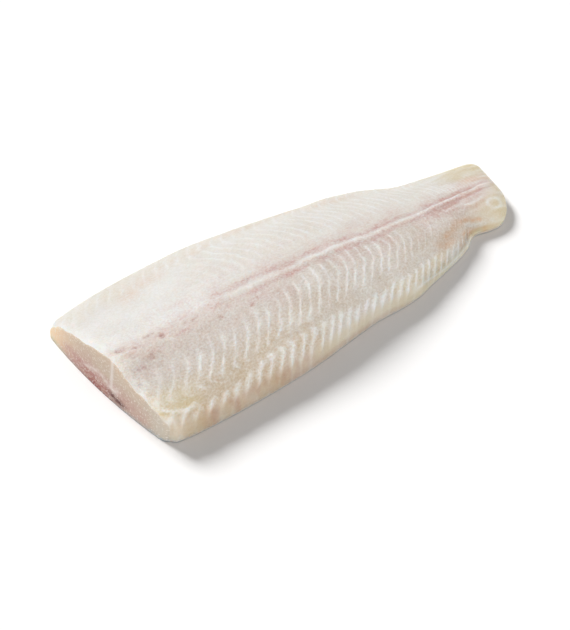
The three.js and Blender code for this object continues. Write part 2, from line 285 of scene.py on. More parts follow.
def sheet_xy(row_flake, side):
    """X of the top sheet on each row, and the flake count there, for grids of row and side."""
    line = flake_x(row_flake)
    spread = back_width(line) / ZIGZAG_WIDTH
    to_tail = ramp(TAIL_BLEND_X, TAIL_X, line)
    to_cut = ramp(HEAD_BLEND_X, HEAD_LINE_X, line)
    x = (line + zigzag(side) * spread * (1 - to_tail) * (1 - to_cut)
         + (tail_end(side) - TAIL_X) * to_tail + (cut_top_x(side) - HEAD_LINE_X) * to_cut)
    # The rows leave the flakes where they turn to the cut, so the count is worked out again there.
    level = x.copy()
    for _ in range(STEPS_TO_COUNT):
        level = x - zigzag(side) * back_width(level) / ZIGZAG_WIDTH
    flake = np.where(line < 0, flake_at(level), row_flake)
    return x, flake


# ---------------------------------------------------------------------- the relief
# Heights and depths are in mm, out from the smooth form and into it. Below, ramp(start, end, x)
# fades a thing in along the fillet, and ramp(start, end, side) across it.

FIRST_ROW_HEIGHT = 0.3
BELLY_ROW_HEIGHT = 0.2
WELT_HEIGHT = 0.85
RIM_RIB_HEIGHT = 0.2
EDGE_SINK = 0.11  # how far the flesh sinks beside each flake edge
STRAND_HEIGHT = 0.45
STRAND_HEIGHT_AT_HEAD = 0.5
BESIDE_STRAND_DEPTH = 0.4
LOW_ALONG_STRAND = (0.08, -0.09)  # how far off it, in side, the two hollows lie
ROW_GROOVE_DEPTH = 0.3  # between the first row of flake ends and the welts
ROW_GROOVE_SIDE = -0.745
NOTCH_DEPTH = 1.1
NOTCH_LINE = [(70, -0.68), (85, -0.8), (101, -1)]  # (x, side)
HEM_HEIGHT = 0.8
HEAD_HALF = (-12, -42)  # here the first row of lines comes to start lower down

# Second row of flake ends on the back half: thick white welts that end at this side.
WELT_FOOT = -0.955
# Where those welts begin, and where the first row of lines has faded out: (x, side).
WELT_HEAD = [
    (-140, -0.85), (-75, -0.84), (-64, -0.79), (-45, -0.785), (-30, -0.8), (-15, -0.81), (2, -0.86),
    (16, -0.85), (30, -0.815), (62, -0.82), (76, -0.86), (100, -0.88),
]
FIRST_ROW_END = [
    (-140, -0.75), (-88, -0.75), (-60, -0.7), (-40, -0.71), (-4, -0.72), (12, -0.69), (100, -0.68),
]

# Torn flesh beside the backbone: (x, side, half length, half width in side, depth in mm).
TORN_PITS = [
    (-126, 0.05, 3.5, 0.03, 0.5), (-119, 0, 3, 0.012, 0.4), (-116, -0.17, 4.5, 0.035, 0.6),
    (-122, -0.24, 3, 0.03, 0.6), (-102.5, 0.01, 2, 0.035, 0.7), (-98, 0, 3, 0.014, 0.4),
    (-89, 0.02, 4, 0.015, 0.3), (-81, 0, 4, 0.015, 0.3), (-42, 0.075, 2.4, 0.015, 0.4),
    (-70, -0.16, 3, 0.02, 0.4), (-108, 0.08, 4, 0.015, 0.4), (-52, -0.24, 2, 0.03, 0.3),
    (-46, -0.19, 2.2, 0.025, 0.3),
]


def off_strand(x, side):
    """How far a place is off the strand, in side; the strand wanders and is knotty."""
    wander = 0.016 * patchy(x, 0 * x, 9, seed=46) + 0.01 * patchy(x, 0 * x, 3.5, seed=47)
    return side - strand_side(x) - wander * ramp(135, 120, x)


def from_flake_edge(flake):
    """Distance from the nearest flake edge, in flakes, from -0.5 to 0.5."""
    return flake - np.round(flake)


def welts(x, side):
    """How far a place is inside the row of welts along the back edge, 0 to 1."""
    head = side - along(WELT_HEAD)(x)
    from_foot = ramp(WELT_FOOT - 0.03, WELT_FOOT + 0.02, side)
    return from_foot * ramp(0.012, -0.012, head) * ramp(95, 70, x)


def first_row(x, side):
    """How far a place is inside the first row of flake ends on the back half, 0 to 1."""
    begin = -0.12 - 0.13 * ramp(*HEAD_HALF, x)
    row_end = side - along(FIRST_ROW_END)(x)
    by_cut = 0.45 + 0.55 * ramp(-110, -85, x)
    return ramp(begin, begin - 0.18, side) * ramp(-0.04, 0.03, row_end) * by_cut


def belly_rows(x, side):
    """How far a place is inside the rows of flake edges on the belly half, 0 to 1."""
    clear = np.clip(ramp(-95, -45, x) + ramp(0.55, 0.75, side), 0, 1)
    return ramp(0.15, 0.35, side) * clear


def pits(x, side):
    """Torn pits beside the backbone, 0 to 1, and their depth in mm."""
    share = np.zeros_like(x)
    depth = np.zeros_like(x)
    for at, at_side, long, wide, deep in TORN_PITS:
        pit = bell(x - at, long) * bell(side - at_side, wide)
        share = np.maximum(share, pit)
        depth = np.maximum(depth, pit * deep)
    return share, depth


def relief(x, y, side, flake):
    """Height of the fine relief, out along the flesh."""
    # Thin ridges stand on the flake edges, and the flesh sinks beside them.
    off = from_flake_edge(flake)
    rows = first_row(x, side)
    welt = welts(x, side)
    belly = belly_rows(x, side)
    rim_ribs = ramp(-0.93, -0.97, side) * ramp(40, 20, x)
    ridges = (FIRST_ROW_HEIGHT * rows * bell(off, 0.075) + BELLY_ROW_HEIGHT * belly * bell(off, 0.09)
              + WELT_HEIGHT * welt * bell(off, 0.17) + RIM_RIB_HEIGHT * rim_ribs * bell(off, 0.17))
    uneven = 0.75 + 0.35 * patchy(x, y, 5, seed=11)
    sunk = EDGE_SINK * (1 - (2 * np.abs(off)) ** 2) * (rows + welt + 0.6 * belly)
    to_tail = 1 - 0.7 * ramp(85, 118, x)
    rows_high = (ridges * uneven - sunk) * to_tail

    # The strand stands up between two hollows, and is lumpier on the head part.
    from_strand = off_strand(x, side)
    strand = STRAND_HEIGHT * bell(from_strand, 0.03) * ramp(-75, -45, x) * ramp(136, 126, x)
    strand *= 0.8 + 0.25 * patchy(x, y, 6, seed=18, stretch=2)
    knotty = 0.6 + 0.6 * patchy(x, y, 4, seed=12)
    strand += STRAND_HEIGHT_AT_HEAD * bell(from_strand, 0.035) * ramp(-60, -80, x) * knotty
    above, below = LOW_ALONG_STRAND
    beside = bell(from_strand - above, 0.05) + bell(from_strand - below, 0.05)
    beside = BESIDE_STRAND_DEPTH * beside * ramp(-75, -45, x)

    # A groove parts the two rows of flake ends, and a notch cuts in behind the flap.
    groove = ROW_GROOVE_DEPTH * bell(side - ROW_GROOVE_SIDE, 0.025) * ramp(95, 75, x)
    notch_x, notch_side = np.transpose(NOTCH_LINE)
    notch = NOTCH_DEPTH * bell(side - np.interp(x, notch_x, notch_side), 0.08)
    notch *= ramp(70, 88, x) * ramp(112, 100, x)

    # The flesh is torn beside the strand near the cut, and uneven all over, most by the cut.
    torn = 0.35 * patchy(x, y, 3.2, seed=13, stretch=1.7) + 0.2 * patchy(x, y, 1.6, seed=14)
    torn = torn * bell(from_strand + 0.03, 0.22) * ramp(-70, -95, x)
    lumps = 0.22 * patchy(x, y, 14, seed=15) + 0.1 * patchy(x, y, 4.5, seed=16, stretch=1.4)
    lumps += 0.05 * patchy(x, y, 1.7, seed=17)
    lumps += HEM_HEIGHT * band(x, side, MEMBRANE_HEM, HEM_WIDE, fade=3)
    by_cut = ramp(12, 2, x - cut_top_x(side))
    lumps += by_cut * (0.6 * patchy(x, y, 6, seed=44) + 0.35 * patchy(x, y, 2.5, seed=45))
    return rows_high + strand - beside - groove - notch + torn - pits(x, side)[1] + lumps


# ------------------------------------------------------------------ tints of the flesh
# Each is 0 to 1 over the whole fillet and becomes an attribute that the materials read. The numbers
# in front of a ramp or a bell are shares of the tint, and patchy gives it the size of its mottling.

# Blood-tinted bands on either side of the strand: (x, strength).
PINK_ABOVE = [
    (-140, 0.2), (-62, 0.15), (-43, 0.4), (-22, 0.35), (-5, 0.8), (35, 0.85), (52, 0.5), (68, 0.55),
    (80, 0.7), (100, 0.8), (124, 0.85), (135, 0.2),
]
PINK_BELOW = [
    (-140, 0.2), (-80, 0.3), (-50, 0.4), (-20, 0.55), (-5, 0.8), (10, 0.95), (45, 0.9), (56, 0.5),
    (70, 0.7), (88, 1), (112, 0.9), (124, 0.7), (132, 0.15),
]
# How white the strand is: (x, share).
STRAND_WHITE = [
    (-140, 0), (-95, 0.05), (-80, 0.2), (-50, 0.28), (-15, 0.26), (0, 0.34), (60, 0.3), (85, 0.36),
    (124, 0.42), (131, 0.2), (137, 0),
]
# Patches of oil tint: (x, side, half length, half width in side, strength).
ORANGE_PATCHES = [
    (-84, 0.68, 12, 0.08, 0.65), (-95, 0.62, 7, 0.09, 0.9), (-66, 0.74, 10, 0.06, 0.5),
    (42, 0.74, 18, 0.1, 0.55), (-46, 0.72, 12, 0.07, 0.45), (-15, 0.8, 16, 0.07, 0.4),
    (15, 0.82, 12, 0.07, 0.4), (80, 0.8, 14, 0.1, 0.35), (124, 0.29, 8, 0.09, 1),
    (77, -0.79, 8, 0.05, 0.8), (113, -0.06, 7, 0.035, 0.4), (108, 0.25, 12, 0.1, 0.35),
]
# Furrows stained by oil, from the notch to the tail: (x, side).
NOTCH_FURROW = [(66, -0.76), (82, -0.655), (91, -0.65), (101, -0.75), (108, -0.86)]
NOTCH_RIM = [(84, -0.92), (90, -0.87), (99, -0.96), (112, -0.98)]
# Thin white threads on the tail: the backbone side one and a small loop, (x, side).
TAIL_THREAD = [(88, -0.27), (101, -0.316), (109, -0.364), (118, -0.29)]
TAIL_LOOP = (121.5, -0.54, 4.6, 0.13)  # x, side, half length, half width in side
# The thick hem of the skin on the corner by the cut, (x, side).
MEMBRANE_HEM = [(-128, -0.78), (-122, -0.83), (-115, -0.86), (-109, -0.84)]
HEM_WIDE = 0.026
# The pale line along the edge of the flap, (x, side).
FLAP_LINE = [(38, -0.965), (53, -0.945), (60, -0.965), (76, -0.975), (90, -0.97)]


def patches(x, side, places):
    """Soft oval patches, the strongest of them at each place."""
    strength = np.zeros_like(x)
    for at, at_side, long, wide, much in places:
        strength = np.maximum(strength, much * bell(x - at, long) * bell(side - at_side, wide))
    return strength


def band(x, side, line, wide, fade=6):
    """A soft band along a line of (x, side) points, fading out past both ends."""
    start, end = line[0][0], line[-1][0]
    within = ramp(start - fade, start + fade, x) * ramp(end + fade, end - fade, x)
    return bell(side - along(line)(x), wide) * within


def pink_tint(x, y, side):
    """Blood tint beside the strand, drawn out in streaks, and thinly over the middle."""
    from_strand = off_strand(x, side)
    streaks = 0.8 + 0.8 * patchy(x, y, 3.4, seed=21, stretch=2)
    streaks = np.clip(streaks + 0.6 * patchy(x, y, 1.4, seed=24, stretch=2), 0, 2)
    above = along(PINK_ABOVE)(x) * bell(from_strand - 0.075, 0.036)
    below = along(PINK_BELOW)(x) * bell(from_strand + 0.08, 0.045)
    middle = 0.42 * bell(from_strand + 0.03, 0.34) * (1 + 1.1 * patchy(x, y, 5, seed=22, stretch=2))
    blotches = patchy(x, y, 6, seed=37, stretch=2) + 0.6 * patchy(x, y, 2, seed=38, stretch=2)
    blotches = 0.3 * np.clip(blotches, 0, 1) * ramp(-20, -60, x) * bell(side - 0.2, 0.17)
    middle = (middle + blotches) * (1 - 0.55 * ramp(-66, -82, x) * bell(side + 0.15, 0.13))
    to_tail = 0.4 * ramp(55, 100, x) * bell(side + 0.22, 0.33) * ramp(126, 112, x)
    return np.clip((above + below) * streaks * ramp(136, 126, x) + middle + to_tail, 0, 1)


def torn_tint(x, y, side):
    """Reddish flesh laid open in the torn pits, with ragged edges."""
    return ramp(0.3, 0.75, pits(x, side)[0] * (1 + 0.8 * patchy(x, y, 1.6, seed=34)))


def skin_tint(x, y, side, flake):
    """The thin skins between the flakes where they come up: soft, broken, whitish lines, with
    thick knobs where the second row begins."""
    wavy = 0.12 * patchy(x, y, 5, seed=31) + 0.1 * patchy(x, y, 2.2, seed=32)
    begin = -0.08 - 0.16 * ramp(*HEAD_HALF, x)
    back = ramp(begin, begin - 0.18, side) * (0.75 + 0.25 * ramp(-112, -92, x))
    back *= 1 - 0.8 * ramp(42, 66, x) * ramp(-0.76, -0.72, side)
    back *= 1 - 0.75 * ramp(-0.9, -0.97, side)
    belly = 0.75 * ramp(0.1, 0.3, side) * np.clip(ramp(-80, -40, x) + ramp(0.6, 0.75, side), 0, 1)
    belly *= 1 - 0.55 * ramp(0.66, 0.86, side)
    # Bare flesh lies between the end of the first row and the heads of the welts.
    head = side - along(WELT_HEAD)(x)
    row_end = side - along(FIRST_ROW_END)(x)
    gap = 1 - 0.92 * ramp(0.005, 0.025, head) * ramp(0.03, -0.03, row_end)
    broken = 0.8 + 0.5 * patchy(x, y, 3, seed=33)
    knob = bell(head + 0.025, 0.028) * ramp(60, 40, x)
    line = bell(from_flake_edge(flake + wavy), 0.17 + 0.08 * welts(x, side) + 0.1 * knob)
    much = (back + belly) * gap * broken * (1 + 0.35 * welts(x, side) + 0.6 * knob)
    return np.clip(much, 0, 1) * line * ramp(112, 85, x)


def tail_arcs(x, side, flake):
    """Faint, close-set arcs of skin across the belly half of the tail, 0 to 1."""
    two_a_flake = 0.5 + 0.5 * np.cos(4 * math.pi * flake)
    within = ramp(84, 100, x) * ramp(132, 122, x) * ramp(0.08, 0.16, side) * ramp(0.62, 0.42, side)
    return two_a_flake * within


def thread_tint(x, side):
    """White threads of skin on the tail and the pale line along the flap."""
    at, at_side, long, wide = TAIL_LOOP
    round_loop = np.hypot((x - at) / long, (side - at_side) / wide)
    loop = bell(round_loop - 1, 0.3) * (0.7 + 0.3 * np.sin(3 * np.arctan2(side - at_side, x - at)))
    return np.maximum(np.maximum(loop, 0.8 * band(x, side, TAIL_THREAD, 0.03)),
                      0.7 * band(x, side, FLAP_LINE, 0.014))


def before_flap(x, side):
    """The bare, glassy stretch of the back edge where the flap begins, 0 to 1."""
    return ramp(-0.78, -0.86, side) * ramp(14, 32, x) * ramp(78, 62, x)


def corner_membrane(x, side):
    """A thin skin left on the corner by the cut, up to its thick rolled upper hem, 0 to 1."""
    cover = 0.25 * ramp(-0.8, -0.85, side) * ramp(-112, -124, x)
    hem = band(x, side, MEMBRANE_HEM, HEM_WIDE, fade=3)
    return np.maximum(cover, hem)


def frost_tint(x, y, side, flake):
    """How thickly the white frost lies: most on the wall of the belly cavity, the skins and the
    dried rim beside the cut, least along the back edge and on the tail."""
    cover = 0.37 + 0.12 * ramp(0, 0.2, side)
    # The back edge is barer near the cut, and better covered from the middle to the flap.
    cover -= 0.09 * ramp(-0.4, -0.7, side) * ramp(-40, -80, x)
    cover += 0.08 * ramp(-0.6, -0.7, side) * ramp(-30, 0, x) * ramp(95, 60, x)
    # The wall of the belly cavity.
    cover += 0.3 * ramp(0.04, 0.16, side) * ramp(0.7, 0.5, side) * ramp(-35, -85, x)
    # The skins and the knotty strand.
    cover += 0.48 * skin_tint(x, y, side, flake)
    knots = 1 + 0.5 * patchy(x, y, 3, seed=25)
    strand = bell(off_strand(x, side), 0.018 + 0.018 * ramp(110, 85, x))
    cover += along(STRAND_WHITE)(x) * strand * knots
    # The dried rim, and the bare corner beside it.
    rim = ramp(9, 1, x - cut_top_x(side)) * (0.8 + 0.6 * patchy(x, y, 3.5, seed=23))
    cover += 0.22 * rim * (1 - 0.6 * ramp(-0.7, -0.85, side))
    corner = ramp(-0.72, -0.82, side) * ramp(-100, -110, x)
    cover -= 0.26 * corner * (1 - 0.6 * ramp(-0.86, -0.95, side))
    # Bare places before the flap and on the belly side of the tail, and fibres along the tail.
    cover -= 0.18 * before_flap(x, side)
    cover -= 0.3 * bell(x - 124, 10) * bell(side - 0.3, 0.13)
    cover += 0.3 * patchy(x, y, 1.6, seed=26, stretch=6) * ramp(75, 105, x)
    cover += 0.12 * patchy(x, y, 8, seed=27, stretch=1.3)
    cover += 0.2 * tail_arcs(x, side, flake) + 0.65 * corner_membrane(x, side)
    glassy_tail = np.clip(0.3 + 0.4 * ramp(-0.1, -0.5, side) + ramp(0.25, 0.5, side), 0, 1)
    cover -= 0.3 * ramp(92, 120, x) * glassy_tail
    cover -= 0.18 * ramp(-0.93, -0.99, side)
    stained = np.maximum(band(x, side, NOTCH_FURROW, 0.1), band(x, side, NOTCH_RIM, 0.08))
    return np.clip(cover - 0.25 * stained + 0.6 * thread_tint(x, side), 0, 1)


def grainy_tint(x, side):
    """How much the frost stands in grains; the thin edges and the tail are smooth and glassy."""
    smooth = np.maximum(0.8 * ramp(-0.9, -0.95, side), 0.5 * ramp(98, 125, x))
    smooth = np.maximum(smooth, 0.8 * ramp(-0.84, -0.9, side) * ramp(-110, -122, x))
    return 1 - np.maximum(smooth, 0.12 * ramp(0, 0.25, side))


def grey_tint(x, side):
    """Greyish, glassy flesh of the back half."""
    return ramp(0.04, -0.2, side) * ramp(118, 90, x)


def ochre_tint(x, y, side):
    """Fat-stained, glassy flesh towards the back edge, and most of all between its welts."""
    towards_edge = 0.7 * ramp(-0.4, -0.75, side) * ramp(110, 80, x)
    towards_edge *= 1 - 0.75 * ramp(-45, 10, x)
    among_welts = 0.65 * welts(x, side) * ramp(-112, -95, x) * ramp(-20, -45, x)
    return np.clip((towards_edge + among_welts) * (1 + 0.4 * patchy(x, y, 5, seed=35)), 0, 1)


def yellow_tint(x, side):
    """Yellowish, glassy flesh: the thin tail, the thin belly edge and the lowest back edge."""
    tail = ramp(98, 122, x) * np.clip(ramp(-0.15, -0.5, side) + ramp(0.25, 0.55, side), 0, 1)
    end = 0.7 * ramp(9, 2, tail_end(side) - x)
    belly_edge = (0.55 + 0.2 * ramp(-60, 0, x)) * ramp(0.6, 0.9, side)
    margin = 0.8 * ramp(-0.91, -0.96, side) * ramp(-50, -25, x)
    corner = 0.95 * ramp(-0.45, -0.72, side) * ramp(-98, -114, x)
    corner *= 1 - 0.8 * ramp(-0.84, -0.93, side)
    flap = 0.8 * before_flap(x, side)
    return np.clip(np.maximum.reduce([tail, end, belly_edge, margin, corner, flap]), 0, 1)


def orange_tint(x, y, side):
    """Oil stains: streaked in the furrows by the notch, and in soft patches elsewhere."""
    furrow = 0.75 * band(x, side, NOTCH_FURROW, 0.075)
    rim = 0.9 * band(x, side, NOTCH_RIM, 0.07)
    streaks = 0.65 + 0.5 * patchy(x, y, 3, seed=28, stretch=3)
    streaks += 0.5 * patchy(x, y, 1.5, seed=30, stretch=1.5)
    notch = np.maximum(furrow, rim) * streaks
    return np.clip(np.maximum(notch, patches(x, side, ORANGE_PATCHES)), 0, 1)


def brown_and_painted_shade_tint(x, y, side):
    """The reddish lower margin of the back edge, and a thin brown line along its foot that is painted
    shade.
    """
    mottled = 0.6 + 0.7 * patchy(x, y, 5, seed=29) + 0.7 * patchy(x, y, 1.8, seed=36)
    margin = 0.5 * ramp(-0.9, -0.97, side) * ramp(-115, -100, x) * ramp(-22, -50, x) * mottled
    # Painted shade: a thin brown line darkens the foot of the back edge, where it turns down into
    # shade.
    painted_foot_shade = 0.5 * ramp(-0.985, -1, side) * ramp(-70, -50, x) * ramp(40, 15, x)
    return np.clip(np.maximum(margin, painted_foot_shade), 0, 1)


# Dark muscle along the lateral line, bared where the skin came off: (x, side), and its half width.
DARK_MUSCLE = [(-140, 0.24), (-60, 0.15), (40, 0.06), (139, 0)]
DARK_MUSCLE_WIDE = [(-140, 0.26), (40, 0.16), (139, 0.1)]


def dark_muscle_tint(x, y, side, flake):
    """The reddish-brown band on the skinned side, streaked, and crossed by the skins."""
    across = (side - along(DARK_MUSCLE)(x)) / along(DARK_MUSCLE_WIDE)(x)
    streaks = 1 + 0.4 * patchy(x, y, 3, seed=51, stretch=5) + 0.3 * patchy(x, y, 8, seed=52, stretch=2)
    return np.clip(bell(across, 1) * streaks * (1 - 0.4 * bell(from_flake_edge(flake), 0.1)), 0, 1)


def skinned_frost_tint(x, y, side, flake):
    """The pale film left on the skinned side, thickest over the skins between the flakes."""
    skins = 0.35 * bell(from_flake_edge(flake), 0.1) * ramp(1, 0.85, np.abs(side))
    bared = 0.3 * dark_muscle_tint(x, y, side, flake)
    return np.clip(0.5 + 0.12 * patchy(x, y, 9, seed=53, stretch=1.5) + skins - bared, 0, 1)


# The knife cut, by y and z in mm on its face.
CUT_SEPTUM_Y = 0
CUT_RED_HEIGHT = [(-45, 8), (-20, 14), (0, 16), (16, 16), (30, 14), (42, 10), (55, 5), (62, 3)]
# The septum's side branch, (y, z).
CUT_BRANCH = [(-8, 10.5), (1, 9.2), (5, 11), (10, 12.8), (16, 11.2), (26, 7.5)]
CUT_DARK_HEIGHT = 9
CUT_BLACK = (-4.5, 4.3)  # the darkest of it, (y, z)
CUT_RINGS_AT = (-16, 9)  # the middle of the nested flakes seen edge on, (y, z)
CUT_RING_PITCH = 3.2


def cut_tints(y, z):
    """Dark muscle along the skin, the upright septum and its branch, the nested flakes, and the
    oily far and near corners."""
    level = along(CUT_RED_HEIGHT)(y)
    uneven = patchy(y, z, 4, seed=43, stretch=2.5)
    low_down = ramp(1.3, 0.4, z / level + 0.25 * uneven)
    red = low_down * (0.65 + 0.35 * ramp(-22, 0, y)) * ramp(-38, -22, y) * ramp(54, 34, y)
    dark = ramp(1.1, 0.4, z / CUT_DARK_HEIGHT + 0.3 * uneven) * ramp(-2, 5, y) * ramp(36, 18, y)
    black_y, black_z = CUT_BLACK
    black = bell(y - black_y, 6) * bell(z - black_z - 0.12 * (y - black_y), 2.2)
    upright = 0.8 * bell(y - CUT_SEPTUM_Y, 1.1 + 1.2 * ramp(14, 9, z)) * ramp(8, 10, z)
    branch = bell(z - along(CUT_BRANCH)(y), 1 + ramp(2, -2, y)) * ramp(-9, -3, y) * ramp(28, 20, y)
    ring_y, ring_z = CUT_RINGS_AT
    from_middle = np.hypot((y - ring_y) / 1.9, z - ring_z) + 0.8 * patchy(y, z, 5, seed=41)
    rings = 0.5 + 0.5 * np.cos(2 * math.pi * from_middle / CUT_RING_PITCH)
    rings = rings * ramp(6, -6, y) * ramp(1, 4, z)
    orange = np.maximum(ramp(22, 56, y) * ramp(34, 4, z), 0.15 * bell(y + 6, 5) * bell(z - 25, 5))
    bottom_line = bell(z - 0.6, 0.7) * ramp(-4, -12, y)
    return {
        "cut_red": np.clip(red, 0, 1),
        "cut_dark": np.clip(0.85 * dark, 0, 1),
        "cut_black": np.clip(black * (1 + 0.6 * uneven), 0, 1),
        "cut_white": np.clip(np.maximum.reduce([upright, 0.8 * branch, 0.8 * bottom_line]), 0, 1),
        "cut_rings": np.clip(rings, 0, 1),
        "cut_orange": np.clip(orange, 0, 1),
        "cut_yellow": ramp(-22, -38, y),
    }


# ------------------------------------------------------------------- the flesh mesh

def row_flakes():
    """Flake count of each mesh row, from the knife cut to the tail."""
    last = float(flake_at(TAIL_X))
    first = float(flake_at(HEAD_LINE_X))
    count = round((last - first) * ROWS_PER_FLAKE)
    even = np.linspace(first, last, count + 1)
    whole = np.round(even)
    off = even - whole
    crowded = np.sign(off) * 0.5 * np.abs(2 * off) ** ROW_CROWDING
    rows = whole + crowded
    rows[0], rows[-1] = first, last
    return rows


def column_sides():
    """Side of each mesh column, from the back edge to the belly edge."""
    sides = [-1.0]
    for reached, count in COLUMN_SPANS:
        sides.extend(np.linspace(sides[-1], reached, count + 1)[1:])
    return np.array(sides)


def select_only(piece):
    """Leaves only this piece selected, and active."""
    bpy.ops.object.select_all(action="DESELECT")
    piece.select_set(True)
    bpy.context.view_layer.objects.active = piece


def blank_sheet(rows, columns):
    """A closed slab of one cell a row and column, with rings cut round its upright sides.

    Its X is the row, Y the column and Z the depth: 0 on the top sheet and -1 on the underside."""
    bpy.ops.object.select_all(action="DESELECT")
    bpy.ops.mesh.primitive_grid_add(x_subdivisions=rows, y_subdivisions=columns, size=2)
    slab = bpy.context.object
    slab.name = "flesh"
    select_only(slab)
    thickness = slab.modifiers.new("thickness", "SOLIDIFY")
    thickness.thickness = 1
    thickness.offset = -1
    bpy.ops.object.modifier_apply(modifier=thickness.name)
    height = np.array([v.co.z for v in slab.data.vertices])
    bpy.ops.object.mode_set(mode="EDIT")
    bpy.ops.mesh.select_all(action="DESELECT")
    bpy.ops.mesh.select_mode(type="EDGE")
    bpy.ops.object.mode_set(mode="OBJECT")
    for edge in slab.data.edges:
        a, b = edge.vertices
        edge.select = bool(abs(height[a] - height[b]) > 0.5)
    bpy.ops.object.mode_set(mode="EDIT")
    bpy.ops.mesh.subdivide(number_cuts=EDGE_RINGS)
    bpy.ops.object.mode_set(mode="OBJECT")
    return slab


def top_grid(rows, sides):
    """Top sheet with its relief, the same sheet smooth, and the flake count and side of each place."""
    row_grid, side_grid = np.meshgrid(rows, sides, indexing="ij")
    x, flake = sheet_xy(row_grid, side_grid)
    y, z = section(x, side_grid)
    step = 0.01
    y_in, z_in = section(x, side_grid - step)
    y_out, z_out = section(x, side_grid + step)
    tilt = np.stack([z_in - z_out, y_out - y_in], -1)
    tilt /= np.linalg.norm(tilt, axis=-1, keepdims=True)
    high = relief(x, y, side_grid, flake)
    high = high * ramp(1, QUIET_SIDE, np.abs(side_grid)) * ramp(0, QUIET_TAIL, tail_end(side_grid) - x)
    top = np.stack([x, y + tilt[..., 0] * high, z + tilt[..., 1] * high], -1)
    smooth = np.stack([x, y, z], -1)
    return top, smooth, flake, side_grid


def edge_inward(smooth):
    """Direction into the flesh, level, for each place on the back edge, tail end and belly edge."""
    inward = np.zeros_like(smooth[..., :2])
    loop = np.concatenate([smooth[:, 0], smooth[-1, 1:-1], smooth[::-1, -1]])[:, :2]
    run = np.gradient(loop, axis=0)
    into = np.stack([-run[:, 1], run[:, 0]], -1)
    into /= np.linalg.norm(into, axis=-1, keepdims=True)
    rows, columns = smooth.shape[:2]
    inward[:, 0] = into[:rows]
    inward[-1, 1:-1] = into[rows:rows + columns - 2]
    inward[:, -1] = into[rows + columns - 2:][::-1]
    return inward


def under_grid(smooth, inward, side):
    """The underside: the outline drawn in by the rounded edge, resting on Z = 0."""
    drawn_in = inward * (EDGE_INSET * smooth[..., 2])[..., None]
    from_tail = tail_end(side) - smooth[..., 0]
    first = smooth[:, :1, :2] + drawn_in[:, :1]
    last = smooth[:, -1:, :2] + drawn_in[:, -1:]
    share = (smooth[..., 1] - smooth[:, :1, 1]) / (smooth[:, -1:, 1] - smooth[:, :1, 1])
    share = share[..., None]
    y = (first * (1 - share) + last * share)[..., 1]
    drift = (first - smooth[:, :1, :2]) * (1 - share) + (last - smooth[:, -1:, :2]) * share
    x = smooth[..., 0] + drift[..., 0] * ramp(UNDERSIDE_SIDE_REACH, 0, from_tail)
    x = x + drawn_in[-1:, :, 0] * ramp(UNDERSIDE_TAIL_REACH, 0, from_tail) * (np.abs(side) < 1)
    to_cut = ramp(UNDERSIDE_CUT_REACH, 0, smooth[..., 0] - smooth[:1, :, 0])
    x = x + (cut_x(y, 0) - smooth[:1, :, 0]) * to_cut
    return np.stack([x, y, np.zeros_like(x)], -1)


def round_corner(point):
    """Rounds the upright corner between the knife cut and the back edge."""
    x, y, z = point.T
    from_cut = CUT_CORNER_ROUND - (x - cut_x(y, z))
    from_edge = CUT_CORNER_ROUND - (y + back_width(x))
    near = (from_cut > 0) & (from_edge > 0)
    square = np.maximum(from_cut, from_edge)
    share = np.where(near, square / np.maximum(np.hypot(from_cut, from_edge), 1e-6), 1)
    rounded = point.copy()
    rounded[:, 0] += np.where(near, from_cut * (1 - share), 0)
    rounded[:, 1] += np.where(near, from_edge * (1 - share), 0)
    return rounded


def wrap_round(upper, lower, depth, at_cut, side):
    """Places from the top sheet down to the underside: round at the edges, flat at the cut."""
    turn = depth * math.pi / 2
    straight = at_cut * ramp(1, 0.9, np.abs(side))
    down = 1 - np.sin(turn) + (np.sin(turn) - depth) * straight
    draw_in = 1 - np.cos(turn) + (depth - 1 + np.cos(turn)) * straight
    point = upper + (lower - upper) * draw_in[:, None]
    point[:, 2] = lower[:, 2] + (upper[:, 2] - lower[:, 2]) * down
    point[at_cut, 0] = cut_x(point[at_cut, 1], point[at_cut, 2])
    return round_corner(point)


def in_row_frame(point):
    """The places in metres in the row frame, inside the box of the solid."""
    shift = Vector((
        cad_high.x / MM - tail_end(np.linspace(-1, 1, 2001)).max(),
        cad_high.y / MM - belly_width(np.linspace(-140, 140, 2001)).max(),
        0,
    ))
    placed = (point + np.array(shift)) * MM
    return np.clip(placed, np.array(cad_low), np.array(cad_high))


def flesh_tints(point, top_z, side, flake):
    """Every tint at every place: those of the top, of the skinned underside and of the cut."""
    x, y, z = point.T
    skinned = ramp(SKINNED_HEIGHT, 0, z)
    top_tints = {
        "pink": pink_tint(x, y, side),
        "grey": grey_tint(x, side),
        "ochre": ochre_tint(x, y, side),
        "torn": torn_tint(x, y, side),
        "yellow": yellow_tint(x, side),
        "orange": orange_tint(x, y, side),
        "brown": brown_and_painted_shade_tint(x, y, side),
    }
    tints = {name: values * (1 - skinned) for name, values in top_tints.items()}
    tints["frost"] = (frost_tint(x, y, side, flake) * (1 - skinned)
                      + skinned_frost_tint(x, y, side, flake) * skinned)
    tints["grainy"] = grainy_tint(x, side) * (1 - 0.7 * skinned)
    tints["dark_muscle"] = dark_muscle_tint(x, y, side, flake) * skinned
    tints.update(cut_tints(y, z))
    tints["below_rim"] = 0.3 * ramp(1.6, 0.2, top_z - z)
    # Painted light: the lowest part of the rounded edge is lightened where it faces down into shade.
    tints["foot"] = ramp(*PAINTED_LIGHT_FOOT_HEIGHTS, z) * (1 - skinned)
    return tints


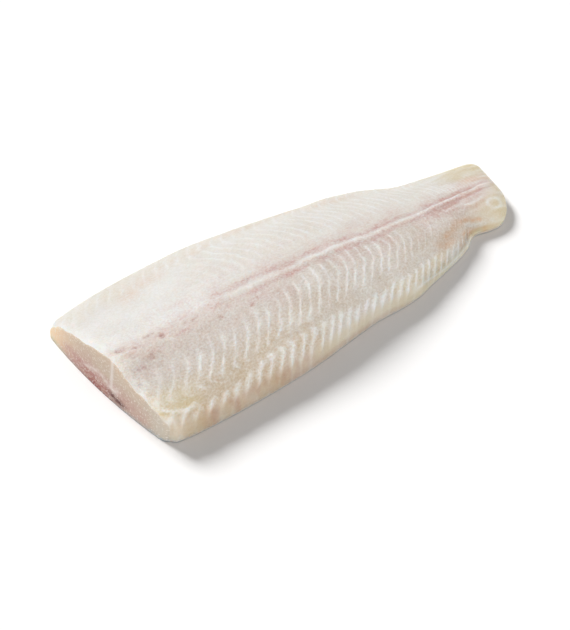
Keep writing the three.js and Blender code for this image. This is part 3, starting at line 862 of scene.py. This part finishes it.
def shape_flesh():
    """The fillet's flesh: one closed mesh, with its tints kept as attributes."""
    rows, sides = row_flakes(), column_sides()
    slab = blank_sheet(len(rows) - 1, len(sides) - 1)
    top, smooth, flake, side = top_grid(rows, sides)
    under = under_grid(smooth, edge_inward(smooth), side)

    cell = np.array([v.co for v in slab.data.vertices])
    row = np.rint((cell[:, 0] + 1) / 2 * (len(rows) - 1)).astype(int)
    column = np.rint((cell[:, 1] + 1) / 2 * (len(sides) - 1)).astype(int)
    depth = np.clip(-cell[:, 2], 0, 1)
    at_cut = row == 0
    upper, lower = top[row, column], under[row, column]
    point = wrap_round(upper, lower, depth, at_cut, side[row, column])
    slab.data.vertices.foreach_set("co", in_row_frame(point).astype(np.float32).ravel())

    tints = flesh_tints(point, upper[:, 2], side[row, column], flake[row, column])
    for name, values in tints.items():
        layer = slab.data.attributes.new(name, "FLOAT", "POINT")
        layer.data.foreach_set("value", values.astype(np.float32))

    slab.data.materials.append(None)
    slab.data.materials.append(None)
    for face in slab.data.polygons:
        face.material_index = int(all(at_cut[i] for i in face.vertices))
    slab.data.update()
    bpy.ops.object.shade_smooth_by_angle(angle=math.radians(SMOOTH_ANGLE))
    return slab


flesh = shape_flesh()


# ------------------------------------------------------------------------ materials

def colour(hex_code):
    """An sRGB hex value as linear RGBA."""
    parts = [int(hex_code[i:i + 2], 16) / 255 for i in (1, 3, 5)]
    return (*[c / 12.92 if c <= 0.04045 else ((c + 0.055) / 1.055) ** 2.4 for c in parts], 1)


def add_node(tree, kind, inputs=None, **settings):
    """Adds a node with its settings, and gives its inputs constants or links."""
    node = tree.nodes.new(kind)
    for name, value in settings.items():
        setattr(node, name, value)
    for socket, value in (inputs or {}).items():
        if isinstance(value, bpy.types.NodeSocket):
            tree.links.new(value, node.inputs[socket])
        else:
            node.inputs[socket].default_value = value
    return node


def blank_material(name):
    """A new material with an empty node tree."""
    material = bpy.data.materials.new(name)
    material.use_nodes = True
    material.node_tree.nodes.clear()
    return material


def lumpy(tree, size_mm, stretch=(1, 1, 1)):
    """Unevenness of the flesh from 0 to 1, about 0.5, in lumps of this size on the piece."""
    place = add_node(tree, "ShaderNodeTexCoord")
    drawn_out = add_node(tree, "ShaderNodeMapping", {
        "Vector": place.outputs["Object"], "Scale": stretch,
    })
    lumps = add_node(tree, "ShaderNodeTexNoise", {
        "Vector": drawn_out.outputs[0], "Scale": 1 / (size_mm * MM), "Detail": 3, "Roughness": 0.6,
    })
    return lumps.outputs["Fac"]


# Sockets of a Mix node for colours, whose names are used more than once on the node.
MIX_SHARE = 0
MIX_UNDER = 6
MIX_OVER = 7
MIXED = 2


def stain(tree, under, hex_code, tint, strength, streaks=None, low=0, high=1):
    """Lays a colour over another where a tint lies. Where streaks are given, it begins where they
    reach low and is full where they reach high."""
    share = add_node(tree, "ShaderNodeAttribute", attribute_name=tint).outputs["Fac"]
    if streaks is not None:
        in_streaks = add_node(tree, "ShaderNodeMapRange", {
            "Value": streaks, "From Min": low, "From Max": high,
        })
        times = add_node(tree, "ShaderNodeMath", {0: share, 1: in_streaks.outputs[0]},
                         operation="MULTIPLY")
        share = times.outputs[0]
    much = add_node(tree, "ShaderNodeMath", {0: share, 1: strength}, operation="MULTIPLY")
    laid = add_node(tree, "ShaderNodeMix", {
        MIX_SHARE: much.outputs[0], MIX_UNDER: under, MIX_OVER: colour(hex_code),
    }, data_type="RGBA")
    return laid.outputs[MIXED]


FLESH_IOR = 1.38
LIGHT_REACH = (1.0, 0.8, 0.65)  # red light goes furthest into the flesh
RUFFLE_MM = 0.5  # height of the finest unevenness, which is too small to model


def moist_flesh(tree, shown, height, bump_strength, roughness, depth_mm):
    """Moist raw flesh: a satin surface on flesh that lets light some way in."""
    bump = add_node(tree, "ShaderNodeBump", {
        "Height": height, "Strength": bump_strength, "Distance": RUFFLE_MM * MM,
    })
    shader = add_node(tree, "ShaderNodeBsdfPrincipled", {
        "Base Color": shown, "Normal": bump.outputs[0], "Roughness": roughness, "IOR": FLESH_IOR,
        "Subsurface Weight": 1.0, "Subsurface Radius": LIGHT_REACH,
        "Subsurface Scale": depth_mm * MM,
    })
    add_node(tree, "ShaderNodeOutputMaterial", {"Surface": shader.outputs[0]})


GRAIN_MM = 1.1  # frosty grains on the surface of the flesh
GRAIN_CONTRAST = 1.35
STREAK_MM = 2.0  # streaks of blood and of dark muscle, drawn out along the fillet
TORN_MM = 1.6
RUFFLE_WIDE_MM = 2.6
RUFFLE_SHARE = 1.5  # how high the ruffles stand beside the frost's grains


def raw_white_fish():
    """Raw white fish, skinned and lying bone side up.

    Moist muscle in flakes: light goes some way in, and the glassy flesh shows tan, yellow, pink or
    orange. A fine white frost lies on it in grains, thick on the skins between the flakes and on
    the strand, and thin on the back half and the tail."""
    material = blank_material("raw white fish, flaked")
    tree = material.node_tree
    grain = lumpy(tree, GRAIN_MM, stretch=(0.8, 1, 1))
    streaks = lumpy(tree, STREAK_MM, stretch=(0.4, 1, 1))
    torn = lumpy(tree, TORN_MM)

    shown = stain(tree, colour("#DFD9CE"), "#CDC2B5", "grey", 1.0)
    shown = stain(tree, shown, "#CAAE80", "ochre", 0.7)
    shown = stain(tree, shown, "#D7CAAA", "yellow", 0.9)
    shown = stain(tree, shown, "#C4877F", "pink", 0.95, streaks, low=0.1, high=0.7)
    shown = stain(tree, shown, "#D79C62", "orange", 0.6)
    # The reddish margin is the flesh's own colour. The thin line along the foot of the back edge is
    # painted shade.
    shown = stain(tree, shown, "#AE7458", "brown", 0.8)
    shown = stain(tree, shown, "#AE705E", "torn", 0.9, torn, low=0.3, high=0.55)
    # Painted light: lightens the lowest part of the rounded edge, which faces down into shade.
    shown = stain(tree, shown, "#F8E8D8", "foot", 0.85)
    shown = stain(tree, shown, "#9C6456", "dark_muscle", 0.85, streaks, low=0.1, high=0.6)

    cover = add_node(tree, "ShaderNodeAttribute", attribute_name="frost").outputs["Fac"]
    grainy = add_node(tree, "ShaderNodeAttribute", attribute_name="grainy").outputs["Fac"]
    contrast = add_node(tree, "ShaderNodeMath", {0: grainy, 1: GRAIN_CONTRAST}, operation="MULTIPLY")
    from_mean = add_node(tree, "ShaderNodeMath", {0: grain, 1: 0.5}, operation="SUBTRACT")
    grains = add_node(tree, "ShaderNodeMath", {
        0: from_mean.outputs[0], 1: contrast.outputs[0], 2: cover,
    }, operation="MULTIPLY_ADD", use_clamp=True)
    frosted = add_node(tree, "ShaderNodeMix", {
        MIX_SHARE: grains.outputs[0], MIX_UNDER: shown, MIX_OVER: colour("#F0F0EE"),
    }, data_type="RGBA")
    ruffled = add_node(tree, "ShaderNodeMath", {
        0: lumpy(tree, RUFFLE_WIDE_MM), 1: RUFFLE_SHARE, 2: grains.outputs[0],
    }, operation="MULTIPLY_ADD")
    moist_flesh(tree, frosted.outputs[MIXED], ruffled.outputs[0], bump_strength=0.7, roughness=0.5,
                depth_mm=12)
    return material


CUT_STREAK_MM = 1.6
SPECK_MM = 1.2
SPECK_SHARE = 0.7  # how white the specks are


def knife_cut_fish():
    """The same fish cut across with a knife: glassy beige flakes edge on, with dark muscle along the
    skin and white septa, and an oily tint at the far corner."""
    material = blank_material("raw white fish, knife cut")
    tree = material.node_tree
    streaks = lumpy(tree, CUT_STREAK_MM, stretch=(1, 0.35, 1))

    shown = stain(tree, colour("#CDBAA5"), "#DDD2C4", "cut_rings", 0.35)
    shown = stain(tree, shown, "#F8D8B0", "cut_orange", 0.85)
    shown = stain(tree, shown, "#CFC7B8", "cut_yellow", 0.75)
    shown = stain(tree, shown, "#C0908A", "cut_red", 0.9, streaks, low=0.1, high=0.6)
    shown = stain(tree, shown, "#9C4238", "cut_dark", 1.0, streaks, low=0.3, high=0.6)
    shown = stain(tree, shown, "#581A18", "cut_black", 1.0, streaks, low=0.32, high=0.5)
    shown = stain(tree, shown, "#EFE9E4", "cut_white", 0.85)
    shown = stain(tree, shown, "#F2EDE6", "below_rim", 1.0)
    specks = add_node(tree, "ShaderNodeMapRange", {
        "Value": lumpy(tree, SPECK_MM), "From Min": 0.54, "From Max": 0.66, "To Max": SPECK_SHARE,
    })
    flecked = add_node(tree, "ShaderNodeMix", {
        MIX_SHARE: specks.outputs[0], MIX_UNDER: shown, MIX_OVER: colour("#EFEAE4"),
    }, data_type="RGBA")
    moist_flesh(tree, flecked.outputs[MIXED], streaks, bump_strength=0.4, roughness=0.38, depth_mm=8)
    return material


flesh.data.materials[0] = raw_white_fish()
flesh.data.materials[1] = knife_cut_fish()

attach(flesh, "root")
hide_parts("fillet")


# --------------------------------------------------------------------------- studio

FLOOR_SIZE = 6  # metres
FLOOR_DROP = 0.0001  # the paper lies this far below the fillet, so that the two faces never meet
SURROUND_STRENGTH = 0.34

# Each lamp: (name, strength, spread in degrees, direction it shines from, what it is flagged to).
LIGHTS = [
    ("key on the paper", 4.2, 19, (-0.1, 1.0, 0.62), "floor"),
    ("soft light on the paper", 0.22, 30, (0.5, -0.15, 1.0), "floor"),
    ("key on the flesh", 1.75, 40, (-0.15, 0.8, 1.0), "flesh"),
    ("fill on the flesh", 1.2, 80, (-0.25, -1.0, 0.75), "flesh"),
]

CAMERA_LENS = 90
CAMERA_AZIMUTH = -37.5  # degrees, and at 0 it looks along +Y
CAMERA_ELEVATION = 47
CAMERA_DISTANCE = 0.878
CAMERA_LOOKS_AT = Vector((-0.0260, -0.0159, 0))


def paper_floor():
    """A wide sheet of matt white paper under the fillet."""
    bpy.ops.object.select_all(action="DESELECT")
    bpy.ops.mesh.primitive_plane_add(size=FLOOR_SIZE, location=(0, 0, -FLOOR_DROP))
    floor = bpy.context.object
    floor.name = "floor"
    paper = bpy.data.materials.new("matt white paper")
    paper.use_nodes = True
    surface = paper.node_tree.nodes["Principled BSDF"]
    surface.inputs["Base Color"].default_value = colour("#F9F9F9")
    surface.inputs["Roughness"].default_value = 0.9
    floor.data.materials.append(paper)
    return floor


def pale_surround():
    """An even, faintly warm light from all round."""
    world = bpy.data.worlds.new("studio surround")
    bpy.context.scene.world = world
    world.use_nodes = True
    background = world.node_tree.nodes["Background"]
    background.inputs["Color"].default_value = colour("#FFFBF8")
    background.inputs["Strength"].default_value = SURROUND_STRENGTH


def hang_lamps(lit):
    """A soft key from the back and a broad fill from the front, each flagged to one of the lit."""
    for name, strength, spread, direction, flagged_to in LIGHTS:
        lamp = bpy.data.lights.new(name, "SUN")
        lamp.energy = strength
        lamp.angle = math.radians(spread)
        holder = bpy.data.objects.new(name, lamp)
        bpy.context.scene.collection.objects.link(holder)
        holder.rotation_euler = Vector(direction).to_track_quat("Z", "Y").to_euler()
        receiver = bpy.data.collections.new(name)
        receiver.objects.link(lit[flagged_to])
        holder.light_linking.receiver_collection = receiver


def stand_camera():
    """The camera, at the photograph's viewing angle."""
    lens = bpy.data.cameras.new("camera")
    lens.lens = CAMERA_LENS
    camera = bpy.data.objects.new("camera", lens)
    bpy.context.scene.collection.objects.link(camera)
    azimuth, elevation = math.radians(CAMERA_AZIMUTH), math.radians(CAMERA_ELEVATION)
    level = math.cos(elevation)
    back = Vector((math.sin(azimuth) * level, -math.cos(azimuth) * level, math.sin(elevation)))
    camera.location = CAMERA_LOOKS_AT + back * CAMERA_DISTANCE
    camera.rotation_euler = (-back).to_track_quat("-Z", "Y").to_euler()
    bpy.context.scene.camera = camera


pale_surround()
hang_lamps({"floor": paper_floor(), "flesh": flesh})
stand_camera()
bpy.context.scene.view_settings.view_transform = "Standard"
